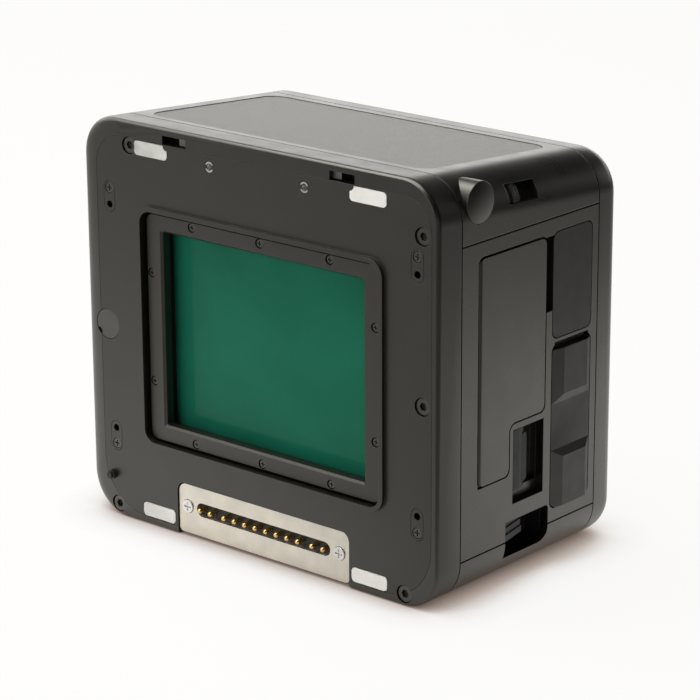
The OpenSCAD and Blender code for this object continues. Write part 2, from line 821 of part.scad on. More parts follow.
module front_frame() color(black) place() difference() {
    loft(front_rings);
    translate([axis_x, 0, 0]) {
        along_y(-past, plate_t) plate_outline(plate_seam);
        along_y(plate_t - past, frame_d + past) rounded_between(
            [ledge_w - plate_half, plate_z0 + ledge_w + 1.2], [plate_half - ledge_w, plate_z1 - ledge_w], 5
        );
        case_screw_holes();
        plug_and_plunger_holes();
        contact_notch(block_end);
        for (p = insert_places) rod(insert_screw(p), 0, insert_screw_end + fit, insert_shank_r + slip);
        for (s = [-1, 1]) {
            block(
                [s * hook_x - hook_w / 2, -past, plate_z1 - past],
                [s * hook_x + hook_w / 2, hook_d, plate_z1 + hook_h]
            );
        }
    }
}

module upper_pad_outline(grow) difference() {
    for (s = [-1, 1]) translate([s * pad_x, pad_top_z]) difference() {
        rounded(pad_w + 2 * grow, pad_h + 2 * grow, pad_r);
        translate([-s * pad_w / 2, pad_h / 2]) circle(pad_notch_r - grow);
    }
    // Room for the head of the upper screw
    translate(head_screw_place) circle(case_head_r + fit - grow);
}

module lower_pad_outline(grow) {
    for (s = [-1, 1]) translate([s * pad_x, pad_low_z]) {
        rounded(pad_w + 2 * grow, pad_h + 2 * grow, pad_r);
    }
}

module insert_outlines(grow) {
    for (p = insert_places) translate([p[0], p[1]]) rotate(90) pill(insert_l + 2 * grow, insert_w + 2 * grow);
}

function insert_hole(p) = [p[0], p[1] - p[2] * insert_pitch / 2];
function insert_screw(p) = [p[0], p[1] + p[2] * insert_pitch / 2];

module window_outline(grow) {
    translate([0, window_z]) rounded(window_w + 2 * grow, window_h + 2 * grow, window_r + grow);
}

module mount_plate() color(black) place_axis() difference() {
    union() {
        along_y(0, plate_t) plate_outline(0);
        along_y(-lip_h, plate_t / 2) window_outline(lip_w);
    }
    along_y(-lip_h - past, plate_t + past) window_outline(0);
    case_screw_holes();
    plug_and_plunger_holes();
    contact_notch(plate_t + past);
    along_y(-past, pad_t - pad_proud) {
        upper_pad_outline(fit);
        lower_pad_outline(fit);
    }
    along_y(-past, plate_t + past) insert_outlines(fit);
    for (s = [-1, 1]) rod([s * bush_x, plate_z1 - bush_down], -past, plate_t + past, bush_r + slip);
}

module case_screws() color(dark) place_axis() {
    for (p = case_screw_places) difference() {
        union() {
            rod(p, case_head_sink, case_head_floor, case_head_r);
            rod(p, case_head_floor - case_head_t / 2, case_screw_end, case_shank_r);
        }
        translate([p[0], case_head_sink - past, p[1]]) rotate([-90, 0, 0]) {
            cylinder(r = 0.55 * case_head_r, h = past + case_head_t / 2, $fn = 6);
        }
    }
}

module upper_pads() color("#ecebe6") place_axis() {
    along_y(-pad_proud, pad_t - pad_proud) upper_pad_outline(0);
}

module lower_pads() color("#ecebe6") place_axis() {
    along_y(-pad_proud, pad_t - pad_proud) lower_pad_outline(0);
}

module hook_catches() color("#a8a7a2") place_axis() {
    for (s = [-1, 1]) {
        x = s * (hook_x - hook_w / 2 + catch_w / 2 + fit);
        block(
            [x - catch_w / 2, 0.9, plate_z1 + 0.25],
            [x + catch_w / 2, hook_d, plate_z1 + hook_h - 0.25]
        );
    }
}

module threaded_bushes() color("#b9b8b3") place_axis() {
    for (s = [-1, 1]) difference() {
        rod([s * bush_x, plate_z1 - bush_down], 0, plate_t, bush_r);
        rod([s * bush_x, plate_z1 - bush_down], -past, plate_t + past, bush_bore_r);
    }
}

module locating_inserts() color(black) place_axis() difference() {
    along_y(0, insert_t) insert_outlines(0);
    for (p = insert_places) {
        rod(insert_hole(p), -past, insert_t + past, locate_r);
        rod(insert_screw(p), -past, insert_t + past, insert_shank_r + slip);
        rod(insert_screw(p), -past, insert_head_t, insert_head_r + fit);
    }
}

module insert_screws() color("#4c4b48") place_axis() {
    for (p = insert_places) difference() {
        union() {
            rod(insert_screw(p), fit, insert_head_t, insert_head_r);
            rod(insert_screw(p), insert_head_t / 2, insert_screw_end, insert_shank_r);
        }
        cross_cut(insert_screw(p), fit, insert_head_r, insert_head_t / 2);
    }
}

module round_plug() color(black) place_axis() difference() {
    rod(plug_place, fit, plug_t, plug_r);
    // Pry notch at the lower edge
    rod(plug_place - plug_r * [0.8, 0.62], fit - past, plug_t / 2, plug_r / 4);
}

module sense_plunger() color(dark) place_axis() {
    rod(plunger_place, plunger_r / 2 - plunger_proud, plunger_end, plunger_r);
    rod(plunger_place, -plunger_proud, plunger_end, plunger_r * 0.7);
}

// Window and sensor stack

module stack_plate(w, h, y0, y1, r) {
    along_y(y0, y1) translate([0, window_z]) rounded(w, h, r);
}

module mask_frame() color(black) place_axis() difference() {
    stack_plate(mask_w, mask_h, mask_sink, plate_t, 1.8);
    stack_plate(aperture_w, aperture_h, mask_sink - past, plate_t + past, 0.4);
    hull() {
        bevel = 2 * aperture_bevel;
        stack_plate(aperture_w + bevel, aperture_h + bevel, mask_sink - slice, mask_sink, 0.4);
        stack_plate(aperture_w, aperture_h, mask_sink + aperture_bevel, mask_sink + aperture_bevel + slice, 0.4);
    }
    for (p = mask_screw_places) translate([0, 0, window_z]) {
        rod(p, mask_sink - past, mask_head_y + mask_head_t, mask_bore_r);
        rod(p, mask_sink, plate_t + past, mask_shank_r + slip);
    }
}

module mask_screws() color("#5a5955") place_axis() {
    for (p = mask_screw_places) translate([0, 0, window_z]) difference() {
        union() {
            rod(p, mask_head_y, mask_head_y + mask_head_t, mask_head_r);
            rod(p, mask_head_y + mask_head_t / 2, stack_y - fit, mask_shank_r);
        }
        cross_cut(p, mask_head_y, mask_head_r, mask_head_t / 2);
    }
}

module sensor_housing() color(dark) place_axis() difference() {
    stack_plate(housing_w, housing_h, plate_t, carrier_y, 3);
    stack_plate(aperture_w + aperture_room, aperture_h + aperture_room, 0, carrier_y + past, 0.5);
    stack_plate(stack_w + 2 * fit, stack_h + 2 * fit, stack_y, carrier_y + past, 0.5);
    for (p = mask_screw_places) translate([0, 0, window_z]) rod(p, 0, stack_y, mask_shank_r + slip);
    for (p = carrier_screw_places) rod(p, carrier_y - carrier_shank_l - fit, carrier_y + past, carrier_shank_r + slip);
}

module filter_gasket() color(dark) place_axis() difference() {
    stack_plate(stack_w, stack_h, stack_y, filter_y, 0.5);
    stack_plate(stack_w - 2 * gasket_rim, stack_h - 2 * gasket_rim, 0, filter_y + past, 0.5);
}

module ir_filter() color("#1f6a52") place_axis() {
    stack_plate(stack_w, stack_h, filter_y, sensor_y, 0.5);
}

module image_sensor() color("#3d5a50") place_axis() {
    stack_plate(stack_w, stack_h, sensor_y, sensor_board_y, 0.5);
}

module sensor_board() color("#1d5a34") place_axis() {
    stack_plate(stack_w, stack_h, sensor_board_y, carrier_y, 0.5);
}

module sensor_carrier() color("#9a9a98") place_axis() difference() {
    stack_plate(housing_w, housing_h, carrier_y, spreader_y, 3);
    for (p = carrier_screw_places) rod(p, 0, spreader_y + past, carrier_shank_r + slip);
}

module carrier_screws() color("#8c8b87") place_axis() {
    for (p = carrier_screw_places) difference() {
        union() {
            rod(p, spreader_y, spreader_y + carrier_head_t, carrier_head_r);
            rod(p, carrier_y - carrier_shank_l, spreader_y + carrier_head_t / 2, carrier_shank_r);
        }
        cross_cut(p, spreader_y + carrier_head_t, carrier_head_r, carrier_head_t / 2);
    }
}

module heat_spreader() color("#b5734a") place_axis() {
    stack_plate(stack_w - 2 * carrier_head_r, stack_h - 4 * carrier_head_r, spreader_y, stack_end_y, 2);
}

// Contact plate

module contact_plate() color("#cfc8ba") place_axis() difference() {
    along_y(contact_sink, contact_back) difference() {
        two_radius(contact_w, contact_foot, contact_h, contact_r, contact_r / 2);
        translate([0, contact_z]) pill(contact_slot_l, contact_slot_h);
    }
    for (s = [-1, 1]) {
        rod([s * contact_screw_x, contact_z], 0, contact_sink + contact_head_t / 2, contact_head_r + fit);
        rod([s * contact_screw_x, contact_z], 0, contact_back + past, contact_shank_r + slip);
    }
}

module contact_plate_screws() color("#d9d8d2") place_axis() {
    head_y = contact_sink - contact_head_t / 2;
    for (s = [-1, 1]) difference() {
        union() {
            rod([s * contact_screw_x, contact_z], head_y, head_y + contact_head_t, contact_head_r);
            rod([s * contact_screw_x, contact_z], head_y + contact_head_t / 2, block_end - 1, contact_shank_r);
        }
        cross_cut([s * contact_screw_x, contact_z], head_y, contact_head_r, contact_head_t / 2);
    }
}

module contact_block() color("#1f1e1c") place_axis() difference() {
    block([-block_w / 2, contact_back, block_z0], [block_w / 2, block_end, block_z1]);
    for (x = pin_places) rod([x, contact_z], 0, block_end + past, pin_r + slip);
    for (s = [-1, 1]) {
        rod([s * contact_screw_x, contact_z], 0, block_end - 1 + fit, contact_shank_r + slip);
    }
}

module contact_pins() color("#d8a640") place_axis() {
    for (x = pin_places) {
        rod([x, contact_z], pin_r - pin_proud, pin_end, pin_r);
        translate([x, pin_r - pin_proud, contact_z]) sphere(pin_r);
    }
}

// Covers and chassis

module chassis() color("#7f7f7c") place() difference() {
    union() {
        difference() {
            block([-inner_x, frame_d, chassis_z0], [inner_x, rear_seam_y, chassis_z1]);
            block(
                [-chassis_in_x, frame_d - past, chassis_in_z0],
                [chassis_in_x, rear_seam_y + past, chassis_in_z1]
            );
        }
        // Floor behind the latch
        block(
            [chassis_in_x - latch_floor_t, latch_y0 - latch_tongue_l - 1, latch_z1 - latch_slider_h - 1],
            [inner_x - chassis_t / 2, latch_y0 + latch_w + 0.5, latch_z1 + 0.4]
        );
    }
    // Room for the sensor stack at the front edge
    block(
        [axis_x - housing_w / 2 - stack_room, 0, window_z - housing_h / 2 - stack_room],
        [axis_x + housing_w / 2 + stack_room, stack_end_y + stack_room, window_z + housing_h / 2 + stack_room]
    );
    // Openings in the right wall: battery, latch, sockets, card reader and finger scoop
    side_opening(
        [battery_y0 - battery_room, battery_z0 - battery_room],
        [battery_y0 + battery_t + battery_room, battery_z0 + battery_h + battery_room]
    );
    block(
        [chassis_in_x, latch_y0 - latch_tongue_l - latch_fit, latch_z1 - latch_slider_h - 2 * latch_fit],
        [half_w, latch_y0 + latch_w, latch_z1]
    );
    side_opening([socket_y0, port_z0 + cover_ledge], [socket_y1, port_z1 - cover_ledge]);
    side_opening([socket_y0, card_z0 + cover_ledge], [socket_y1, card_z1 - cover_ledge]);
    block(
        [scoop_x0 - fit, scoop_y0 - scoop_t - fit, 0],
        [half_w, scoop_y1 + scoop_t + fit, scoop_z1 + scoop_t + fit]
    );
}

// A square opening through the chassis's right wall
module side_opening(low, high) {
    block([chassis_in_x - past, low[0], low[1]], [inner_x + past, high[0], high[1]]);
}

module top_cover() color(black) place() difference() {
    intersection() {
        top_frame() along_y(-body_d, 2 * body_d) top_outline(0);
        union() {
            difference() {
                block([-body_w, frame_d + seam, top_seam_z], [body_w, rear_seam_y - seam, 2 * body_h]);
                top_frame() along_y(-body_d, 2 * body_d) top_outline(wall);
            }
            // Posts that stand on the chassis
            for (s = [-1, 1]) {
                x = s * (inner_x - post_w);
                block([x - post_w / 2, post_y, chassis_z1], [x + post_w / 2, rear_seam_y - 2, body_h]);
            }
        }
    }
    top_frame() {
        translate([0, inlay_front + inlay_l / 2, -inlay_t]) linear_extrude(past + inlay_t) {
            rounded(inlay_w + 2 * fit, inlay_l + 2 * fit, inlay_r);
        }
        lock_window(0);
    }
    translate([switch_x, button_y, button_z]) rotate([0, 90, 0]) cylinder(r = button_r + slip, h = body_w);
}

module top_inlay() color("#55544f") place() top_frame() {
    translate([0, inlay_front + inlay_l / 2, -inlay_t]) linear_extrude(inlay_t - fit) {
        rounded(inlay_w, inlay_l, inlay_r);
    }
}

module bottom_cover() color(black) place() difference() {
    union() {
        difference() {
            along_y(frame_d + seam, rear_seam_y - seam) two_radius(body_w, 0, body_h, corner_r, corner_r);
            along_y(0, body_d) two_radius(body_w - 2 * wall, wall, 2 * body_h, corner_r, corner_r - wall);
            block([-body_w, 0, low_seam_z - seam], [body_w, body_d, 2 * body_h]);
        }
        // Ribs that carry the chassis
        for (s = [-1, 1]) {
            block([s * rib_x - wall / 2, frame_d + 4, wall / 2], [s * rib_x + wall / 2, rear_seam_y - 4, low_seam_z]);
        }
    }
    scoop_opening();
}

module left_side_cover() color(black) place() {
    block([-half_w, frame_d + seam, low_seam_z], [-inner_x, rear_seam_y - seam, top_seam_z - seam]);
}

// The door's outline: a wide part with a narrower tail and a fillet between them
module door_outline(grow) {
    fillet = door_r + 0.4 - grow;
    rounded_between([door_y0 - grow, door_z0 - grow], [door_y1 + grow, door_z1 + grow], door_r);
    rounded_between([door_y0 - grow, tail_z0 - grow], [tail_y1 + grow, door_z0 + 3 * door_r], door_r);
    translate([tail_y1 + grow, door_z0 - grow - fillet]) difference() {
        translate([-door_r, 0]) square([fillet + door_r, fillet + door_r]);
        translate([fillet, 0]) circle(fillet);
        translate([fillet, 0]) square([door_r, fillet]);
    }
}

// The opening round the door, wider in front of it and above it
module door_opening() {
    extra = door_gap - seam;
    along_x(inner_x - past, half_w + past) {
        door_outline(seam);
        translate([-extra, extra]) door_outline(seam);
        // Square corner below the hinge, where the door turns
        translate([door_y0 - hinge_room, tail_z0 - seam]) {
            square([hinge_room + 2 * knuckle_r, seam + 2 * door_r]);
        }
    }
}

// The finger scoop's outline: square in front and round behind
module scoop_outline(grow) {
    y0 = scoop_y0 - grow;
    y1 = scoop_y1 + grow;
    z0 = scoop_z0 - grow;
    z1 = scoop_z1 + grow;
    foot = scoop_r + grow;
    top = scoop_top_r + grow;
    translate([y0, z0 + foot]) square([y1 - y0, z1 - z0 - foot - top]);
    translate([y0, z0]) square([y1 - y0 - foot, z1 - z0]);
    translate([y0, z1 - 2 * top]) square([y1 - y0 - top, 2 * top]);
    translate([y1 - foot, z0 + foot]) circle(foot);
    translate([y1 - top, z1 - top]) circle(top);
}

module scoop_opening() {
    along_x(scoop_x0 - past, half_w + past) scoop_outline(0);
}

// A recess for a rubber cover, with a smaller opening through its floor
module cover_recess(z0, z1) {
    along_x(recess_x0, half_w + past) {
        rounded_between([cover_y0 - cover_fit, z0 - cover_fit], [cover_y1 + cover_fit, z1 + cover_fit], cover_r);
    }
    block(
        [inner_x - past, socket_y0, z0 + cover_ledge],
        [half_w + past, socket_y1, z1 - cover_ledge]
    );
}

module right_side_cover() color(black) place() difference() {
    block([inner_x, frame_d + seam, low_seam_z], [half_w, rear_seam_y - seam, top_seam_z - seam]);
    door_opening();
    block([inner_x - past, door_y1 - past, door_z1 - notch_h], [half_w + past, notch_y1 + fit, door_z1]);
    block([inner_x - past, latch_y0, latch_z0], [half_w + past, latch_y0 + latch_w, latch_z1]);
    scoop_opening();
    cover_recess(port_z0, port_z1);
    cover_recess(card_z0, card_z1);
    // Fingernail gap above the card cover
    block([recess_x0, socket_y0, card_z1 - past], [half_w + past, socket_y1, card_z1 + cover_nail]);
    hinge_bore();
}

module hinge_bore() {
    translate([hinge_x, hinge_y, tail_z0 - hinge_pin_in - fit]) {
        cylinder(r = hinge_pin_r + slip, h = door_h + tail_h + 2 * (hinge_pin_in + fit));
    }
}

// Controls at the top right corner

module power_button() color(dark) place() intersection() {
    translate([half_w - button_l, button_y, button_z]) rotate([0, 90, 0]) {
        cylinder(r = button_r, h = button_l + button_dome);
    }
    // The domed end is part of a ball
    ball = (button_r * button_r + button_dome * button_dome) / (2 * button_dome);
    translate([half_w + button_dome - ball, button_y, button_z]) sphere(ball, $fn = 96);
}

module power_switch() color("#6a6a66") place() {
    block(
        [switch_x - switch_w, button_y - 2.6, chassis_z1 + board_t],
        [switch_x, button_y + 2.6, button_z + 1.8]
    );
}

module top_board() color("#1d5a34") place() {
    block(
        [-inner_x + 6, stack_end_y + stack_room, chassis_z1],
        [inner_x - 6, rear_seam_y - 2, chassis_z1 + board_t]
    );
}

// A round bar along the top right edge, in the top frame
module edge_bar(y0, y1, r) {
    rod([lock_corner_x, -corner_r], y0, y1, r);
}

// The window for the lock slider, in the top frame
module lock_window(grow) {
    block(
        [lock_corner_x + 1, lock_y0 - grow, -lock_down - lock_h - grow],
        [body_w, lock_y0 + lock_l + grow, grow - lock_down]
    );
}

module lock_slider() color(dark) place() top_frame() intersection() {
    difference() {
        union() {
            edge_bar(lock_y0 + lock_clear, lock_y0 + lock_clear + lock_slider_l, lock_out_r);
            edge_bar(
                lock_y0 + lock_clear + lock_slider_l * 0.35,
                lock_y0 + lock_clear + lock_slider_l * 0.65, lock_ridge_r
            );
        }
        edge_bar(0, body_d, lock_in_r);
    }
    lock_window(-lock_clear);
}

// The curved floor behind the lock slider's window
module slider_track() color("#141412") place() top_frame() intersection() {
    difference() {
        edge_bar(lock_y0 - track_rim, lock_y0 + lock_l + track_rim, track_out_r);
        edge_bar(0, body_d, track_in_r);
    }
    lock_window(track_rim);
}

// Battery door, latch and finger scoop

module battery_door() color(black) place() difference() {
    intersection() {
        along_x(door_x0, half_w) door_outline(0);
        union() {
            block([0, hinge_y, 0], [body_w, body_d, body_h]);
            translate([hinge_x, hinge_y, 0]) cylinder(r = knuckle_r, h = body_h);
        }
    }
    hinge_bore();
}

module door_hinge_pin() color("#b9b8b3") place() {
    translate([hinge_x, hinge_y, tail_z0 - hinge_pin_in]) {
        cylinder(r = hinge_pin_r, h = door_h + tail_h + 2 * hinge_pin_in);
    }
}

module battery_latch() color(black) place() {
    y0 = latch_y0 + latch_fit;
    y1 = y0 + latch_l;
    z1 = latch_z1 - latch_fit;
    z0 = z1 - latch_slider_h;
    ridge_y = y0 + latch_l * 0.62;
    roll_y = y1 - latch_roll_l;
    block([latch_x0, y0, z0], [latch_face_x, roll_y, z1]);
    intersection() {
        block([latch_x0, roll_y - past, z0], [half_w, y1, z1]);
        translate([latch_face_x - latch_roll_r, roll_y, z0]) cylinder(r = latch_roll_r, h = latch_slider_h);
    }
    along_x(latch_x0, latch_face_x - 0.15) translate([ridge_y, (z0 + z1) / 2]) {
        rotate(90) pill(latch_slider_h - 2.6, 1.7);
    }
    // Tongue behind the door's tail
    block(
        [latch_x0, y0 - latch_tongue_l, z1 - latch_slider_h * 0.7],
        [inner_x - fit, y0 + 1, z1 - latch_slider_h * 0.2]
    );
}

module finger_scoop() color(black) place() {
    // A box behind the covers' skins
    intersection() {
        difference() {
            along_x(scoop_x0, inner_x - fit) scoop_outline(scoop_t);
            along_x(scoop_x0 + scoop_t, half_w) scoop_outline(0);
        }
        along_y(0, body_d) {
            two_radius(body_w - 2 * (wall + fit), wall + fit, 2 * body_h, corner_r, corner_r - wall - fit);
        }
    }
    // A ramp in three steps that falls away from the front edge, above the lower seam
    ramp_h = (scoop_z1 - fit - low_seam_z) / 3;
    ramp_y1 = scoop_y0 + ramp_share * scoop_w;
    foot_x = scoop_x0 + scoop_t / 2;
    for (k = [0:2]) {
        face_x = half_w - 0.05 - k * ramp_step;
        translate([0, 0, low_seam_z + k * ramp_h]) linear_extrude(ramp_h) polygon([
            [foot_x, scoop_y0 + fit], [face_x, scoop_y0 + fit], [face_x - ramp_d, ramp_y1], [foot_x, ramp_y1]
        ]);
    }
}

// Rubber covers

module port_cover() color(rubber) place() {
    along_x(cover_x0, half_w) rounded_between([cover_y0, port_z0], [cover_y1, port_z1], cover_r);
}

module card_cover() color(rubber) place() difference() {
    top_x = half_w + grip_h;
    out_x = top_x + past;
    z0 = card_z0 + grip_l;
    z1 = card_z1 - grip_l;
    along_x(cover_x0, top_x) rounded_between([cover_y0, card_z0], [cover_y1, card_z1], cover_r);
    // The flush middle, with a slope up to the grip at each end
    translate([0, cover_y1 + past, 0]) rotate([90, 0, 0]) linear_extrude(cover_w + 2 * past) polygon([
        [half_w, z0], [top_x, z0 - grip_slope], [out_x, z0 - grip_slope],
        [out_x, z1 + grip_slope], [top_x, z1 + grip_slope], [half_w, z1]
    ]);
    // The slopes along the front and rear edges
    translate([0, 0, card_z0 - past]) linear_extrude(card_h + 2 * past) {
        polygon([
            [half_w, cover_y0], [top_x, cover_y0 + grip_side], [out_x, cover_y0 + grip_side],
            [out_x, cover_y0 - past], [half_w, cover_y0 - past]
        ]);
        polygon([
            [half_w, cover_y1], [top_x, cover_y1 - grip_slope], [out_x, cover_y1 - grip_slope],
            [out_x, cover_y1 + past], [half_w, cover_y1 + past]
        ]);
    }
    // The step above the upper grip
    block(
        [half_w - grip_step_d, cover_y0 - past, card_z1 - grip_step],
        [out_x, cover_y1 + past, card_z1 + past]
    );
}

// Battery, sockets and boards

module battery() color("#2f3033") place() {
    along_x(battery_x0, battery_x1) rounded_between(
        [battery_y0, battery_z0], [battery_y0 + battery_t, battery_z0 + battery_h], 2
    );
}

module battery_tray() color("#3f4043") place() {
    low = battery_z0 - tray_t;
    block([battery_x0 - fit - tray_t, battery_y0, low], [chassis_in_x, battery_y0 + battery_t, low + tray_t]);
    block(
        [battery_x0 - fit - tray_t, battery_y0, low],
        [battery_x0 - fit, battery_y0 + battery_t, battery_z0 + battery_h]
    );
}

module network_jack() color("#b9b8b3") place() difference() {
    block([port_board_x, socket_y0 + fit, jack_z0], [socket_x1, socket_y1 - fit, jack_z1]);
    block(
        [socket_x1 - jack_socket_d, socket_y0 + fit + jack_wall, jack_z0 + jack_wall],
        [socket_x1 + past, socket_y1 - fit - jack_wall, jack_z1 - jack_wall]
    );
}

module usb_jack() color("#c4c3be") place() difference() {
    mid = [(socket_y0 + socket_y1) / 2, (usb_z0 + usb_z1) / 2];
    size = [socket_w - usb_margin, usb_z1 - usb_z0];
    along_x(port_board_x, socket_x1) translate(mid) pill(size[0], size[1]);
    along_x(socket_x1 - usb_socket_d, socket_x1 + past) translate(mid) {
        pill(size[0] - 2 * usb_wall, size[1] - 2 * usb_wall);
    }
}

module port_board() color("#1d5a34") place() {
    block([port_board_x - board_t, socket_y0, port_z0], [port_board_x, socket_y1 - fit, chassis_in_z1]);
}

// A card slot's middle in Y, and half its width and height
function card_y(s) = socket_y0 + s[0] * socket_w;
function card_size(s) = [s[1] * socket_w, s[2] * reader_h] / 2;

module card_reader() color("#8f8f8b") place() difference() {
    union() {
        block([socket_x1 - reader_d, socket_y0 + fit, reader_z0], [socket_x1, socket_y1 - fit, reader_z1]);
        block([chassis_in_x - 2, cover_y0, reader_z0], [chassis_in_x, cover_y1, reader_z1]);
    }
    for (s = card_slots) {
        size = card_size(s);
        translate([0, card_y(s), (reader_z0 + reader_z1) / 2]) {
            block([socket_x1 - reader_d + 2, -size[0], -size[1]], [socket_x1 + past, size[0], size[1]]);
        }
    }
}

module memory_cards() color("#3c4a63") place() {
    for (s = card_slots) translate([0, card_y(s), (reader_z0 + reader_z1) / 2]) {
        half = card_size(s) - [card_gap, card_gap];
        block([socket_x1 - reader_d + 2, -half[0], -half[1]], [socket_x1 - 1, half[0], half[1]]);
    }
}

module main_board() color("#1d5a34") place() {
    block(
        [main_board_x0, main_board_y, chassis_in_z0 + 2],
        [main_board_x1, main_board_y + board_t, chassis_in_z1 - 2]
    );
}

module processor() color("#262626") place() {
    mid_x = (main_board_x0 + main_board_x1) / 2;
    along_y(main_board_y - processor_t, main_board_y) translate([mid_x, window_z]) {
        square(processor_w, center = true);
    }
}

module power_board() color("#1d5a34") place() {
    block(
        [-chassis_in_x, frame_d + 5, chassis_in_z0 + 4],
        [board_t - chassis_in_x, main_board_y - 3, chassis_in_z1 - 4]
    );
}

// Rear

module key_outline(k, grow) {
    translate([k[0] * key_x, display_z + k[1] * key_dz]) {
        rounded(key_w + 2 * grow, key_h + 2 * grow, 1.5 + grow);
    }
}

module rear_bezel() color(black) place() difference() {
    loft([
        body_ring(rear_seam_y, 0),
        for (a = [0:15:90]) body_ring(body_d - rear_r * (1 - sin(a)), rear_r * (1 - cos(a)))
    ]);
    along_y(rear_seam_y - past, rear_inner_y) body_outline(body_d, wall);
    along_y(rear_inner_y - past, body_d + past) {
        translate([0, display_z]) rounded(glass_w + 2 * fit, glass_h + 2 * fit, glass_r);
        for (k = key_places) key_outline(k, key_clear);
    }
}

module rear_plate() color("#8c8c88") place() {
    block(
        [-inner_x + 0.3, rear_seam_y, chassis_z0 + 0.3],
        [inner_x - 0.3, rear_plate_y1, chassis_z1 - 0.3]
    );
    for (p = standoff_places) rod(p, main_board_y + board_t, rear_plate_y1, standoff_r);
}

module display_module() color("#202124") place() {
    along_y(rear_plate_y1, rear_inner_y) translate([0, display_z]) {
        rounded(glass_w + 2 * module_margin, glass_h + 2 * module_margin, glass_r);
    }
}

module display_glass() color("#0d0e10") place() {
    along_y(rear_inner_y, body_d - rear_sink) translate([0, display_z]) rounded(glass_w, glass_h, glass_r);
}

// A rear button with a flange behind the rear wall
module rear_key(k) color(dark) place() {
    along_y(rear_inner_y - 1, body_d - rear_sink) key_outline(k, 0);
    along_y(rear_inner_y - 1, rear_inner_y - fit) key_outline(k, key_flange);
}

front_frame();
mount_plate();
case_screws();
upper_pads();
lower_pads();
hook_catches();
threaded_bushes();
locating_inserts();
insert_screws();
round_plug();
sense_plunger();
mask_frame();
mask_screws();
sensor_housing();
filter_gasket();
ir_filter();
image_sensor();
sensor_board();
sensor_carrier();
carrier_screws();
heat_spreader();
contact_plate();
contact_plate_screws();
contact_block();
contact_pins();
chassis();
top_cover();
top_inlay();
bottom_cover();
right_side_cover();
left_side_cover();
power_button();
power_switch();
top_board();
lock_slider();
slider_track();
battery_door();
door_hinge_pin();
battery_latch();
finger_scoop();
port_cover();
card_cover();
battery();
battery_tray();
network_jack();
usb_jack();
port_board();
card_reader();
memory_cards();
main_board();
processor();
power_board();
rear_bezel();
rear_plate();
display_module();
display_glass();
rear_key(key_places[0]);  // upper_left_key
rear_key(key_places[1]);  // lower_left_key
rear_key(key_places[2]);  // upper_right_key
rear_key(key_places[3]);  // lower_right_key
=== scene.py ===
"""Medium format digital back on a white studio table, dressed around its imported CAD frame."""
import math

import bpy
from mathutils import Matrix, Vector


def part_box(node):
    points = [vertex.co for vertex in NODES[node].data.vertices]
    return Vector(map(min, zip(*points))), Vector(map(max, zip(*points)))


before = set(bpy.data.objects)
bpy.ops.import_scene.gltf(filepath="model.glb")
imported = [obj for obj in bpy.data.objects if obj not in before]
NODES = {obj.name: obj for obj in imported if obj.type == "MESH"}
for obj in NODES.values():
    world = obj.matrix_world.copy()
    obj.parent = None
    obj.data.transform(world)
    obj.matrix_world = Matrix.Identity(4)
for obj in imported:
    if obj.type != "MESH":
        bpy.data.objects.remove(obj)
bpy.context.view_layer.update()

MM = 0.001

# The photograph's camera, solved from the body's square faces, in degrees and millimetres
CAMERA_AZIMUTH = 40.784
CAMERA_ELEVATION = 17.678
CAMERA_ROLL = -0.309
CAMERA_DISTANCE = 629.852
CAMERA_TARGET = (0.55, 0.45, 44.84)
CAMERA_SLIDE = (-0.052, -5.366)
CAMERA_LENS = 150.951
SENSOR_WIDTH = 36.0

# Level directions as the camera sees them: away from it, to its right, and to the right and a little back
BACKDROP = (-math.sin(math.radians(CAMERA_AZIMUTH)), math.cos(math.radians(CAMERA_AZIMUTH)), 0.0)
ASIDE = (math.cos(math.radians(CAMERA_AZIMUTH)), math.sin(math.radians(CAMERA_AZIMUTH)), 0.0)
RIGHT_BACK = (0.69, 0.724, 0.0)


# Node trees

class Nodes:
    """An emptied node tree, with the nodes that the materials and the world share."""

    def __init__(self, tree, coords):
        self.tree = tree
        self.tree.nodes.clear()
        self.coords = self.add("ShaderNodeTexCoord").outputs[coords]

    def add(self, kind, **settings):
        """A new node with these settings."""
        node = self.tree.nodes.new(kind)
        for key, value in settings.items():
            setattr(node, key, value)
        return node

    def join(self, source, target):
        """A link from an output to an input."""
        self.tree.links.new(source, target)

    def math(self, operation, *values):
        """A sum on numbers and other nodes' outputs."""
        node = self.add("ShaderNodeMath", operation=operation)
        for socket, value in zip(node.inputs, values):
            if isinstance(value, (int, float)):
                socket.default_value = value
            else:
                self.join(value, socket)
        return node.outputs[0]

    def product(self, first, *others):
        """All the values multiplied together."""
        for other in others:
            first = self.math("MULTIPLY", first, other)
        return first

    def span(self, value, low, high, to_low=0.0, to_high=1.0, smooth=False):
        """Maps one range of values onto another, in a straight line or in a smooth step."""
        node = self.add("ShaderNodeMapRange", interpolation_type="SMOOTHSTEP" if smooth else "LINEAR")
        glint_ends = {"From Min": low, "From Max": high, "To Min": to_low, "To Max": to_high}
        for key, number in glint_ends.items():
            node.inputs[key].default_value = number
        self.join(value, node.inputs["Value"])
        return node.outputs["Result"]

    def axes(self):
        """The X, Y and Z of the coordinates."""
        node = self.add("ShaderNodeSeparateXYZ")
        self.join(self.coords, node.inputs[0])
        return node.outputs

    def along(self, direction):
        """How far the coordinates lie in a direction."""
        node = self.add("ShaderNodeVectorMath", operation="DOT_PRODUCT")
        node.inputs[1].default_value = direction
        self.join(self.coords, node.inputs[0])
        return node.outputs["Value"]

    def ramp(self, fac, stops):
        """A colour ramp through (position, colour) stops."""
        node = self.add("ShaderNodeValToRGB")
        elements = node.color_ramp.elements
        while len(elements) < len(stops):
            elements.new(0.5)
        for element, (position, color) in zip(elements, stops):
            element.position = position
            element.color = (*color, 1.0)
        self.join(fac, node.inputs["Fac"])
        return node.outputs["Color"]


def empty_material(name):
    material = bpy.data.materials.new(name)
    material.use_nodes = True
    return material


# Materials, with every length in millimetres

